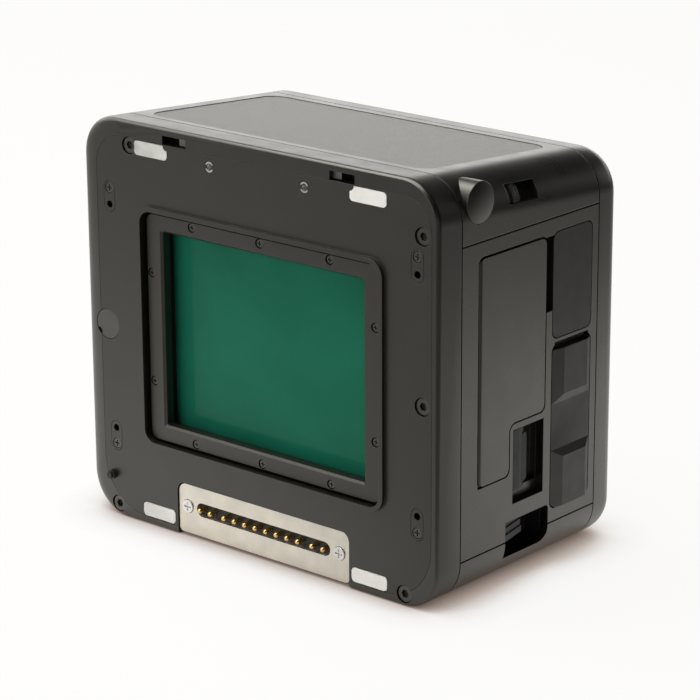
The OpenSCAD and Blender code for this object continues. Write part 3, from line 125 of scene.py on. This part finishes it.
NEUTRAL = (1.0, 1.0, 1.0)
WARM = (1.0, 0.98, 0.90)
OXIDE_TINT = (1.0, 0.975, 0.88)
OXIDE_IOR = 1.7
DUST = (0.42, 0.40, 0.36)
# Lighter grey for edges: partly wear, partly a painted highlight along them
EDGE_WEAR_AND_HIGHLIGHT = (0.08, 0.077, 0.07)
BEVEL_SAMPLES = 4


class Shader(Nodes):
    """One procedural material, with the layers that most of the finishes share."""

    def __init__(self, name, color, rough, metallic=0.0, specular=0.5):
        self.material = empty_material(name)
        super().__init__(self.material.node_tree, "Object")
        self.bsdf = self.add("ShaderNodeBsdfPrincipled")
        out = self.add("ShaderNodeOutputMaterial")
        self.join(self.bsdf.outputs[0], out.inputs["Surface"])
        self.set("Base Color", (*color, 1.0))
        self.set("Roughness", rough)
        self.set("Metallic", metallic)
        self.set("Specular IOR Level", specular)
        self.color = color
        self.rough = rough
        self.color_out = None
        self.normal_out = None

    def set(self, socket, value):
        self.bsdf.inputs[socket].default_value = value

    def stretched(self, stretch):
        """Coordinates in which a texture is drawn out by these factors along X, Y and Z."""
        mapping = self.add("ShaderNodeMapping")
        mapping.inputs["Scale"].default_value = [1 / factor for factor in stretch]
        self.join(self.coords, mapping.inputs["Vector"])
        return mapping.outputs["Vector"]

    def noise(self, size, detail=2.0, stretch=None):
        """Noise whose features are about that many millimetres across."""
        node = self.add("ShaderNodeTexNoise")
        node.inputs["Scale"].default_value = 1 / (size * MM)
        node.inputs["Detail"].default_value = detail
        self.join(self.stretched(stretch) if stretch else self.coords, node.inputs["Vector"])
        return node.outputs["Fac"]

    def cells(self, size, feature):
        """Voronoi cells that are about that many millimetres across."""
        node = self.add("ShaderNodeTexVoronoi", feature=feature)
        node.inputs["Scale"].default_value = 1 / (size * MM)
        self.join(self.coords, node.inputs["Vector"])
        return node.outputs

    def over(self, fac, color):
        """Another colour laid over what is there, where fac is 1."""
        node = self.add("ShaderNodeMix", data_type="RGBA")
        below, above = [socket for socket in node.inputs if socket.type == "RGBA"]
        if self.color_out:
            self.join(self.color_out, below)
        else:
            below.default_value = (*self.color, 1.0)
        above.default_value = (*color, 1.0)
        self.join(fac, node.inputs[0])
        self.color_out = next(socket for socket in node.outputs if socket.type == "RGBA")
        return self

    def mottle(self, size, amount, tint=NEUTRAL):
        """Slow uneven colour, such as in an anodised or moulded surface."""
        low = tuple(c * (1 - amount) for c in self.color)
        high = tuple(c * (1 + amount) * t for c, t in zip(self.color, tint))
        self.color_out = self.ramp(self.noise(size, detail=4.0), [(0.3, low), (0.7, high)])
        return self

    def rough_noise(self, size, amount, stretch=None):
        """Gloss that varies by that amount."""
        fac = self.noise(size, detail=3.0, stretch=stretch)
        value = self.span(fac, 0.25, 0.75, self.rough - amount, self.rough + amount)
        self.join(value, self.bsdf.inputs["Roughness"])
        return self

    def bump(self, height, depth, strength=1.0):
        """Relief that is about that many millimetres deep."""
        node = self.add("ShaderNodeBump")
        node.inputs["Distance"].default_value = depth * MM
        node.inputs["Strength"].default_value = strength
        self.join(height, node.inputs["Height"])
        if self.normal_out:
            self.join(self.normal_out, node.inputs["Normal"])
        self.normal_out = node.outputs["Normal"]
        return self

    def grain(self, size, depth, strength=0.5, stretch=None):
        """Fine relief all over."""
        return self.bump(self.noise(size, stretch=stretch), depth, strength)

    def soft_edges(self, radius, wear_and_highlight=None, reach=0.4):
        """Rounds edges in the shading, and lays that colour in patches along them: partly edge wear, partly a
        painted highlight on the edges.
        """
        node = self.add("ShaderNodeBevel", samples=BEVEL_SAMPLES)
        node.inputs["Radius"].default_value = radius * MM
        self.normal_out = node.outputs["Normal"]
        if wear_and_highlight:
            lean = self.add("ShaderNodeVectorMath", operation="DOT_PRODUCT")
            self.join(self.normal_out, lean.inputs[0])
            self.join(self.add("ShaderNodeNewGeometry").outputs["True Normal"], lean.inputs[1])
            edge = self.span(lean.outputs["Value"], 0.98, 0.80)
            patch = self.span(self.noise(2.5, detail=4.0), 0.42, 0.62)
            # Painted highlight along the edges, in patches that also read as wear
            self.over(self.product(edge, patch, reach), wear_and_highlight)
        return self

    def specks(self, spacing, size, amount, share, color=DUST):
        """Sparse dust: one speck a cell, and none in that share of the cells."""
        cell = self.cells(spacing, "F1")
        near = self.math("LESS_THAN", cell["Distance"], size / spacing)
        draw = self.add("ShaderNodeSeparateColor")
        self.join(cell["Color"], draw.inputs[0])
        some = self.math("GREATER_THAN", draw.outputs[0], share)
        return self.over(self.product(near, some, amount), color)

    def oxide_gloss(self):
        """The warm, strong gloss of a dyed oxide skin."""
        self.set("IOR", OXIDE_IOR)
        self.set("Specular Tint", (*OXIDE_TINT, 1.0))
        return self

    def done(self):
        if self.color_out:
            self.join(self.color_out, self.bsdf.inputs["Base Color"])
        if self.normal_out:
            self.join(self.normal_out, self.bsdf.inputs["Normal"])
        return self.material


def anodised(name, color, rough, grain=0.12, depth=0.006, edge=0.18, specular=0.8):
    """Bead-blasted and anodised metal, with lighter patches along the edges, partly wear and partly painted
    highlight, and a little dust.
    """
    shader = Shader(name, color, rough, specular=specular).oxide_gloss()
    shader.mottle(size=9.0, amount=0.10, tint=(1.03, 1.0, 0.97))
    # Lighter edge patches: partly wear, partly painted highlight
    shader.soft_edges(edge, EDGE_WEAR_AND_HIGHLIGHT)
    shader.specks(spacing=5.0, size=0.10, amount=0.45, share=0.72)
    shader.rough_noise(size=6.0, amount=0.035)
    return shader.grain(grain, depth, strength=0.6).done()


def plastic(name, color, rough, grain=0.2, depth=0.01, edge=0.12, specular=0.5, tint=NEUTRAL):
    """Moulded plastic, epoxy or rubber."""
    shader = Shader(name, color, rough, specular=specular).soft_edges(edge)
    shader.mottle(size=5.0, amount=0.12)
    shader.rough_noise(size=3.0, amount=0.05)
    shader.set("Specular Tint", (*tint, 1.0))
    return shader.grain(grain, depth).done()


def brushed(name, color, rough, stretch=(1, 1, 1), depth=0.004):
    """Bare metal, with brush lines drawn out along the stretch."""
    shader = Shader(name, color, rough, metallic=1.0).soft_edges(0.10)
    shader.mottle(size=4.0, amount=0.08, tint=(1.0, 0.99, 0.97))
    shader.rough_noise(size=0.5, amount=0.06, stretch=stretch)
    return shader.grain(0.15, depth, strength=0.6, stretch=stretch).done()


def inlay_material():
    """The top's inlay: a skin with a fine leather-like grain."""
    shader = Shader("inlay_grain", (0.0060, 0.0057, 0.0050), 0.36, specular=0.8).oxide_gloss()
    shader.soft_edges(0.12)
    shader.mottle(size=7.0, amount=0.10)
    shader.specks(spacing=4.0, size=0.11, amount=0.5, share=0.68)
    pebbles = shader.cells(0.9, "DISTANCE_TO_EDGE")
    shader.bump(shader.span(pebbles["Distance"], 0.0, 0.25), depth=0.03, strength=0.7)
    return shader.grain(0.25, depth=0.01).done()


def filter_material():
    """Green filter glass with a coated, slightly uneven face."""
    shader = Shader("filter_glass", (0.010, 0.128, 0.075), 0.10, specular=0.08)
    shader.mottle(size=22.0, amount=0.10, tint=(1.05, 1.0, 1.05))
    shader.specks(spacing=7.0, size=0.06, amount=0.5, share=0.75, color=(0.10, 0.28, 0.20))
    return shader.rough_noise(size=12.0, amount=0.03).done()


# Grey laid over the pads towards the upper left: rub marks together with painted shade against the left
# lamp's extra light
PAD_RUB_AND_SHADE = (0.36, 0.36, 0.345)
PAD_RUB_AND_SHADE_X = (-5.0, -30.0)
PAD_RUB_AND_SHADE_Z = (30.0, 70.0)


def pad_material():
    """White acetal pads with grey marks, most of all on the upper left: partly rub marks, partly painted
    shade that tones down the left lamp's light.
    """
    shader = Shader("white_pad", (0.86, 0.85, 0.81), 0.38).soft_edges(0.12)
    shader.mottle(size=5.0, amount=0.08)
    place = shader.axes()
    left = shader.span(place["X"], *(x * MM for x in PAD_RUB_AND_SHADE_X), to_low=0.12)
    upper = shader.span(place["Z"], *(z * MM for z in PAD_RUB_AND_SHADE_Z), to_low=0.45)
    marks = shader.noise(4.0, detail=4.0, stretch=(2.5, 1, 1))
    rub_and_shade = shader.span(marks, 0.30, 0.70, 0.25, 0.95)
    # Painted shade, mottled like rub marks, strongest on the upper left
    shader.over(shader.product(left, upper, rub_and_shade), PAD_RUB_AND_SHADE)
    shader.rough_noise(size=3.0, amount=0.05)
    return shader.grain(0.5, depth=0.02).done()


BUSH_BLACK = (0.006, 0.0057, 0.005)
BUSH_FACE = 0.06
# Where the painted highlight on the bush faces lies: bare-metal crescents above and below each hole
BUSH_GLINT_RADIUS = 1.12
BUSH_GLINT_FROM = 0.45
THREAD_PITCH = 0.4


def bush_material():
    """A steel bush with a bright thread, and a blackened front face with bare-metal crescents above and below
    the hole: a painted highlight where the hole's edge catches the light.
    """
    rough, black_rough = 0.30, 0.40
    shader = Shader("threaded_bush", (0.86, 0.85, 0.82), rough, metallic=1.0, specular=0.6).oxide_gloss()
    shader.mottle(size=2.0, amount=0.08)
    low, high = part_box("threaded_bushes")
    middle = (low + high) / 2
    radius = (high.z - low.z) / 2
    apart = (high.x - low.x) / 2 - radius
    place = shader.axes()
    face = shader.math("LESS_THAN", place["Y"], low.y + BUSH_FACE * MM)
    from_middle = shader.math("ABSOLUTE", shader.math("SUBTRACT", place["X"], middle.x))
    across = shader.math("SUBTRACT", from_middle, apart)
    above = shader.math("SUBTRACT", place["Z"], middle.z)
    squared = shader.math("ADD", shader.math("POWER", across, 2.0), shader.math("POWER", above, 2.0))
    # Painted highlight: bare steel left in crescents above and below the hole, on the black face
    glint_ring = shader.math("LESS_THAN", squared, (BUSH_GLINT_RADIUS * MM) ** 2)
    glint_ends = shader.math("GREATER_THAN", shader.math("ABSOLUTE", above), BUSH_GLINT_FROM * MM)
    black = shader.product(face, shader.math("SUBTRACT", 1.0, shader.product(glint_ring, glint_ends)))
    shader.over(black, BUSH_BLACK)
    shader.join(shader.math("SUBTRACT", 1.0, black), shader.bsdf.inputs["Metallic"])
    shader.join(shader.span(black, 0.0, 1.0, rough, black_rough), shader.bsdf.inputs["Roughness"])
    turns = shader.math("SINE", shader.product(place["Y"], 2 * math.pi / (THREAD_PITCH * MM)))
    return shader.bump(turns, depth=0.06, strength=0.7).done()


def sensor_material():
    """The sensor's face, with a very fine grain."""
    shader = Shader("sensor_face", (0.020, 0.060, 0.050), 0.25)
    shader.mottle(size=6.0, amount=0.15)
    return shader.grain(0.05, depth=0.002, strength=0.4).done()


def display_material():
    """Black display glass with a faintly uneven gloss."""
    shader = Shader("display_glass", (0.006, 0.006, 0.007), 0.06)
    shader.set("Coat Weight", 0.5)
    shader.set("Coat Roughness", 0.03)
    shader.mottle(size=14.0, amount=0.2)
    return shader.rough_noise(size=9.0, amount=0.04).done()


CASE_BLACK = (0.0046, 0.0043, 0.0036)
PLATE_BLACK = (0.0050, 0.0046, 0.0038)
FRAME_BLACK = (0.0048, 0.0044, 0.0037)
MASK_BLACK = (0.0050, 0.0047, 0.0040)
RUBBER_BLACK = (0.0095, 0.0092, 0.0084)

MATERIALS = {
    "body": anodised("body_anodised", CASE_BLACK, 0.29, depth=0.003, edge=0.12),
    "top": anodised("top_anodised", CASE_BLACK, 0.29, depth=0.003, edge=0.20),
    "button": anodised("button_anodised", CASE_BLACK, 0.33, depth=0.003, edge=0.35, specular=0.64),
    "plate": anodised("plate_anodised", PLATE_BLACK, 0.40, 0.10, depth=0.005, edge=0.12, specular=0.60),
    "frame": anodised("frame_anodised", FRAME_BLACK, 0.32, edge=0.12, specular=0.70),
    "mask": anodised("mask_anodised", MASK_BLACK, 0.42, 0.10, depth=0.004, specular=0.60),
    "oxide": anodised("black_oxide", (0.012, 0.012, 0.011), 0.34, 0.08, depth=0.004),
    "housing": plastic("housing_flocked", (0.008, 0.008, 0.0075), 0.80, specular=0.2),
    "trim": plastic("trim_plastic", (0.012, 0.012, 0.0115), 0.50),
    "rubber": plastic("rubber_skin", RUBBER_BLACK, 0.44, 0.16, 0.012, edge=0.2, specular=0.7, tint=WARM),
    "plug": plastic("plug_plastic", (0.050, 0.049, 0.043), 0.38, specular=0.8, tint=WARM),
    "board": plastic("solder_mask", (0.020, 0.110, 0.050), 0.35, 0.6, depth=0.03),
    "chip": plastic("chip_epoxy", (0.020, 0.020, 0.021), 0.55),
    "battery": plastic("battery_case", (0.030, 0.030, 0.033), 0.45),
    "card": plastic("card_case", (0.035, 0.050, 0.090), 0.42),
    "steel": brushed("satin_steel", (0.55, 0.54, 0.51), 0.30, stretch=(6, 1, 1)),
    "hook": brushed("dark_steel", (0.22, 0.215, 0.205), 0.34),
    "contact": brushed("contact_steel", (0.79, 0.745, 0.655), 0.42, stretch=(10, 1, 1)),
    "bright": brushed("bright_screw", (0.80, 0.79, 0.76), 0.18, depth=0.002),
    "gold": brushed("gold_plate", (0.86, 0.60, 0.22), 0.20, depth=0.002),
    "inner": brushed("machined_alloy", (0.50, 0.50, 0.49), 0.38, stretch=(1, 6, 1)),
    "copper": brushed("rolled_copper", (0.70, 0.36, 0.20), 0.34, stretch=(8, 1, 1)),
    "inlay": inlay_material(),
    "filter": filter_material(),
    "pad": pad_material(),
    "bush": bush_material(),
    "sensor": sensor_material(),
    "display": display_material(),
}

FINISH = {
    "body": [
        "bottom_cover", "right_side_cover", "left_side_cover", "battery_door", "rear_bezel",
        "upper_left_key", "lower_left_key", "upper_right_key", "lower_right_key",
    ],
    "top": ["top_cover", "lock_slider"],
    "button": ["power_button"],
    "plate": ["mount_plate", "locating_inserts"],
    "frame": ["front_frame"],
    "mask": ["mask_frame"],
    "oxide": ["case_screws", "insert_screws", "mask_screws", "door_hinge_pin", "chassis"],
    "housing": ["sensor_housing", "filter_gasket"],
    "trim": [
        "sense_plunger", "contact_block", "slider_track", "battery_latch", "finger_scoop", "battery_tray",
        "display_module",
    ],
    "rubber": ["port_cover", "card_cover"],
    "plug": ["round_plug"],
    "board": ["sensor_board", "top_board", "port_board", "main_board", "power_board"],
    "chip": ["power_switch", "processor"],
    "battery": ["battery"],
    "card": ["memory_cards"],
    "steel": ["carrier_screws", "network_jack", "usb_jack", "card_reader"],
    "hook": ["hook_catches"],
    "contact": ["contact_plate"],
    "bright": ["contact_plate_screws"],
    "gold": ["contact_pins"],
    "inner": ["sensor_carrier", "rear_plate"],
    "copper": ["heat_spreader"],
    "inlay": ["top_inlay"],
    "filter": ["ir_filter"],
    "pad": ["upper_pads", "lower_pads"],
    "bush": ["threaded_bushes"],
    "sensor": ["image_sensor"],
    "display": ["display_glass"],
}

for finish, names in FINISH.items():
    for name in names:
        node = NODES[name]
        if not node.material_slots:
            node.data.materials.append(MATERIALS[finish])
        for slot in node.material_slots:
            slot.material = MATERIALS[finish]


# Smooth shading, with its angles in degrees and its weld in millimetres

SMOOTH_ANGLE = 32
CRISP_ANGLE = 10
CRISP_NODES = ["card_cover"]
WELD_DISTANCE = 0.002


def smooth_group(limit):
    """A modifier that shades smoothly across edges flatter than the limit."""
    group = bpy.data.node_groups.new("smooth_by_angle", "GeometryNodeTree")
    for side in ("INPUT", "OUTPUT"):
        group.interface.new_socket("Geometry", in_out=side, socket_type="NodeSocketGeometry")
    start = group.nodes.new("NodeGroupInput")
    end = group.nodes.new("NodeGroupOutput")
    angle = group.nodes.new("GeometryNodeInputMeshEdgeAngle")
    flat = group.nodes.new("FunctionNodeCompare")
    flat.data_type = "FLOAT"
    flat.operation = "LESS_EQUAL"
    flat.inputs[1].default_value = math.radians(limit)
    faces = group.nodes.new("GeometryNodeSetShadeSmooth")
    faces.domain = "FACE"
    edges = group.nodes.new("GeometryNodeSetShadeSmooth")
    edges.domain = "EDGE"
    group.links.new(start.outputs[0], faces.inputs["Geometry"])
    group.links.new(faces.outputs[0], edges.inputs["Geometry"])
    group.links.new(angle.outputs["Unsigned Angle"], flat.inputs[0])
    group.links.new(flat.outputs[0], edges.inputs["Shade Smooth"])
    group.links.new(edges.outputs[0], end.inputs[0])
    return group


SMOOTH = smooth_group(SMOOTH_ANGLE)
CRISP = smooth_group(CRISP_ANGLE)

for name, node in NODES.items():
    weld = node.modifiers.new("weld", "WELD")
    weld.merge_threshold = WELD_DISTANCE * MM
    smooth = node.modifiers.new("smooth", "NODES")
    smooth.node_group = CRISP if name in CRISP_NODES else SMOOTH


# The table, in metres

TABLE_SIZE = 12
TABLE_DROP = 0.00005
PAPER = (0.86, 0.855, 0.84)
PAPER_GLOW = 0.92
SHADOW_REACH = 0.013
SHADOW_SAMPLES = 8
# Colours of the painted contact shadow, from touching the object out to the plain paper
SHADOW_COLORS = [
    (0.0, (0.05, 0.035, 0.025)),
    (0.45, (0.46, 0.38, 0.33)),
    (0.70, (0.92, 0.90, 0.88)),
    (0.98, (1.0, 0.995, 0.985)),
]
# Where the paper dims in reflections: a direction, where it starts and ends, and the level that is left
PAPER_FADES = [
    (ASIDE, 0.10, 0.32, 0.30),
    (ASIDE, 0.34, 0.90, 0.10),
    (ASIDE, -0.12, -0.36, 0.50),
    (BACKDROP, 0.0, -0.11, 0.20),
]


def table_material():
    """White paper, which dims in reflections towards both sides and the front, with a warm contact shadow
    painted into its glow.
    """
    material = empty_material("table")
    paper = Nodes(material.node_tree, "Object")
    ray = paper.add("ShaderNodeLightPath").outputs
    fades = [
        paper.span(paper.along(direction), end, start, to_low=left, smooth=True)
        for direction, start, end, left in PAPER_FADES
    ]
    # Painted shadow: the glow turns dark and warm where ambient occlusion finds the object near
    near = paper.add("ShaderNodeAmbientOcclusion", samples=SHADOW_SAMPLES)
    near.inputs["Distance"].default_value = SHADOW_REACH
    glow = paper.add("ShaderNodeEmission")
    paper.join(paper.ramp(near.outputs["AO"], SHADOW_COLORS), glow.inputs["Color"])
    level = paper.math("MAXIMUM", paper.product(*fades), ray["Is Camera Ray"])
    paper.join(level, glow.inputs["Strength"])
    lit = paper.add("ShaderNodeBsdfDiffuse")
    lit.inputs["Color"].default_value = (*PAPER, 1.0)
    # The glow is there only for rays from the camera, in a reflection or through glass
    behind = paper.math("MAXIMUM", ray["Is Glossy Ray"], ray["Is Transmission Ray"])
    seen = paper.math("MAXIMUM", ray["Is Camera Ray"], behind)
    mix = paper.add("ShaderNodeMixShader")
    paper.join(paper.product(seen, PAPER_GLOW), mix.inputs[0])
    paper.join(lit.outputs[0], mix.inputs[1])
    paper.join(glow.outputs[0], mix.inputs[2])
    paper.join(mix.outputs[0], paper.add("ShaderNodeOutputMaterial").inputs["Surface"])
    return material


bpy.ops.mesh.primitive_plane_add(size=TABLE_SIZE, location=(0, 0, -TABLE_DROP))
table = bpy.context.object
table.name = "table"
table.data.materials.append(table_material())


# The room, with its edges as shares of a unit direction

BACKDROP_EDGE = (0.10, 0.80)
BACKDROP_TOP = (0.22, 0.44)
HORIZON_TOP = (0.01, 0.12)
DARK_SIDE = (0.55, 0.85)
ROOM_LEVEL = 0.025
DARK_LEVEL = 0.06
ROOM_COLOR = (1.0, 0.992, 0.975)


def studio_world():
    """A dark room with a white backdrop behind the object and a white horizon, which stops at a dark side."""
    world = bpy.data.worlds.new("studio")
    world.use_nodes = True
    room = Nodes(world.node_tree, "Generated")
    height = room.axes()["Z"]
    across = room.span(room.along(BACKDROP), *BACKDROP_EDGE, smooth=True)
    below = room.span(height, *BACKDROP_TOP, to_low=1.0, to_high=0.0, smooth=True)
    horizon = room.span(height, *HORIZON_TOP, to_low=1.0, to_high=ROOM_LEVEL, smooth=True)
    side = room.span(room.along(RIGHT_BACK), *DARK_SIDE, to_low=1.0, to_high=DARK_LEVEL, smooth=True)
    level = room.math("MAXIMUM", room.product(across, below), room.product(horizon, side))
    light = room.add("ShaderNodeBackground")
    light.inputs["Color"].default_value = (*ROOM_COLOR, 1.0)
    room.join(level, light.inputs["Strength"])
    room.join(light.outputs[0], room.add("ShaderNodeOutputWorld").inputs["Surface"])
    return world


bpy.context.scene.world = studio_world()


# Lamps, in metres and watts

LAMP_COLOR = (1.0, 0.985, 0.96)


def soft_box(name, place, aim, size, power):
    """A rectangular lamp that looks at a point."""
    data = bpy.data.lights.new(name, "AREA")
    data.shape = "RECTANGLE"
    data.size, data.size_y = size
    data.energy = power
    data.color = LAMP_COLOR
    lamp = bpy.data.objects.new(name, data)
    bpy.context.collection.objects.link(lamp)
    lamp.location = place
    lamp.rotation_euler = (Vector(aim) - Vector(place)).to_track_quat("-Z", "Y").to_euler()


soft_box("key", place=(-0.65, -0.10, 0.62), aim=(0, 0, 0), size=(1.0, 0.8), power=4.0)
soft_box("overhead", place=(-0.12, -0.08, 0.65), aim=(0, 0, 0), size=(0.6, 0.5), power=3.3)
soft_box("front_fill", place=(-0.10, -0.80, 0.35), aim=(0, 0, 0.03), size=(0.6, 0.4), power=2.5)
soft_box("back_strip", place=(-0.56, 0.65, 0.25), aim=(0, 0, 0.08), size=(1.0, 0.30), power=0.85)


# The camera

def photo_camera():
    """The camera where the photograph was taken from."""
    azimuth, elevation, roll = (math.radians(v) for v in (CAMERA_AZIMUTH, CAMERA_ELEVATION, CAMERA_ROLL))
    level = math.cos(elevation)
    back = Vector((math.sin(azimuth) * level, -math.cos(azimuth) * level, math.sin(elevation)))
    right = (-back).cross(Vector((0, 0, 1))).normalized()
    up = right.cross(-back)
    turned_right = right * math.cos(roll) + up * math.sin(roll)
    turned_up = up * math.cos(roll) - right * math.sin(roll)
    slide = turned_right * CAMERA_SLIDE[0] + turned_up * CAMERA_SLIDE[1]
    place = Vector(CAMERA_TARGET) + back * CAMERA_DISTANCE + slide
    data = bpy.data.cameras.new("camera")
    data.sensor_width = SENSOR_WIDTH
    data.sensor_fit = "HORIZONTAL"
    data.lens = CAMERA_LENS
    data.clip_start = 0.01
    data.clip_end = 50
    camera = bpy.data.objects.new("camera", data)
    bpy.context.collection.objects.link(camera)
    turn = Matrix((turned_right, turned_up, back)).transposed()
    camera.matrix_world = Matrix.Translation(place * MM) @ turn.to_4x4()
    bpy.context.scene.camera = camera


photo_camera()
bpy.context.scene.view_settings.view_transform = "Standard"
